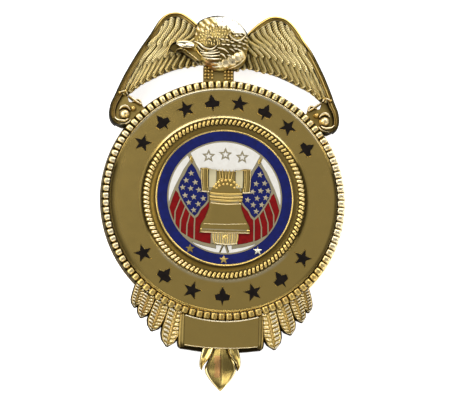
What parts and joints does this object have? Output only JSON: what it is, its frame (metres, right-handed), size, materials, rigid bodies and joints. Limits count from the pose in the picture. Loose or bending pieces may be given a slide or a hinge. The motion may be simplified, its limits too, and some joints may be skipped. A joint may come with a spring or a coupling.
{
  "type": "eagle-topped security shield badge",
  "caption": "Round gilt breast badge with an eagle spreading its wings over it, an enamelled medallion, a fluted border, feather fans and a blank name plate at the foot.",
  "frame": {"origin": "centre of the bounding box, on the surface that the badge lies on with its face up", "axes": "+X to the right of the badge's face, +Y to the eagle, +Z out of the face"},
  "size_m": [0.0572, 0.0884, 0.0076],
  "materials": {
    "gilt_brass": "die-struck gilt brass, bright on the relief and dull olive on the flat panel",
    "blue_enamel": "glossy hard enamel",
    "white_enamel": "glossy hard enamel",
    "red_enamel": "glossy hard enamel",
    "black_enamel": "glossy enamel in sunk marks"
  },
  "bodies": {
    "root": {"badge_body": "gilt_brass", "back_pin": "gilt_brass", "seal_disc": "gilt_brass", "enamel_blue_ring": "blue_enamel", "enamel_white_field_1": "white_enamel", "enamel_white_field_2": "white_enamel", "enamel_white_field_3": "white_enamel", "enamel_white_star_1": "white_enamel", "enamel_white_star_2": "white_enamel", "enamel_white_star_3": "white_enamel", "enamel_white_foot_1": "white_enamel", "enamel_white_foot_2": "white_enamel", "enamel_white_foot_3": "white_enamel", "enamel_blue_canton_left": "blue_enamel", "enamel_blue_canton_right": "blue_enamel", "enamel_red_stripe_left_1": "red_enamel", "enamel_red_stripe_left_2": "red_enamel", "enamel_red_stripe_left_3": "red_enamel", "enamel_red_stripe_left_4": "red_enamel", "enamel_red_stripe_left_5": "red_enamel", "enamel_red_stripe_right_1": "red_enamel", "enamel_red_stripe_right_2": "red_enamel", "enamel_red_stripe_right_3": "red_enamel", "enamel_red_stripe_right_4": "red_enamel", "enamel_red_stripe_right_5": "red_enamel", "enamel_black_mark_1": "black_enamel", "enamel_black_mark_2": "black_enamel", "enamel_black_mark_3": "black_enamel", "enamel_black_mark_4": "black_enamel", "enamel_black_mark_5": "black_enamel", "enamel_black_mark_6": "black_enamel", "enamel_black_mark_7": "black_enamel", "enamel_black_mark_8": "black_enamel", "enamel_black_mark_9": "black_enamel", "enamel_black_mark_10": "black_enamel", "enamel_black_mark_11": "black_enamel", "enamel_black_mark_12": "black_enamel", "enamel_black_mark_13": "black_enamel", "enamel_black_mark_14": "black_enamel", "enamel_black_mark_15": "black_enamel"}
  },
  "joints": []
}
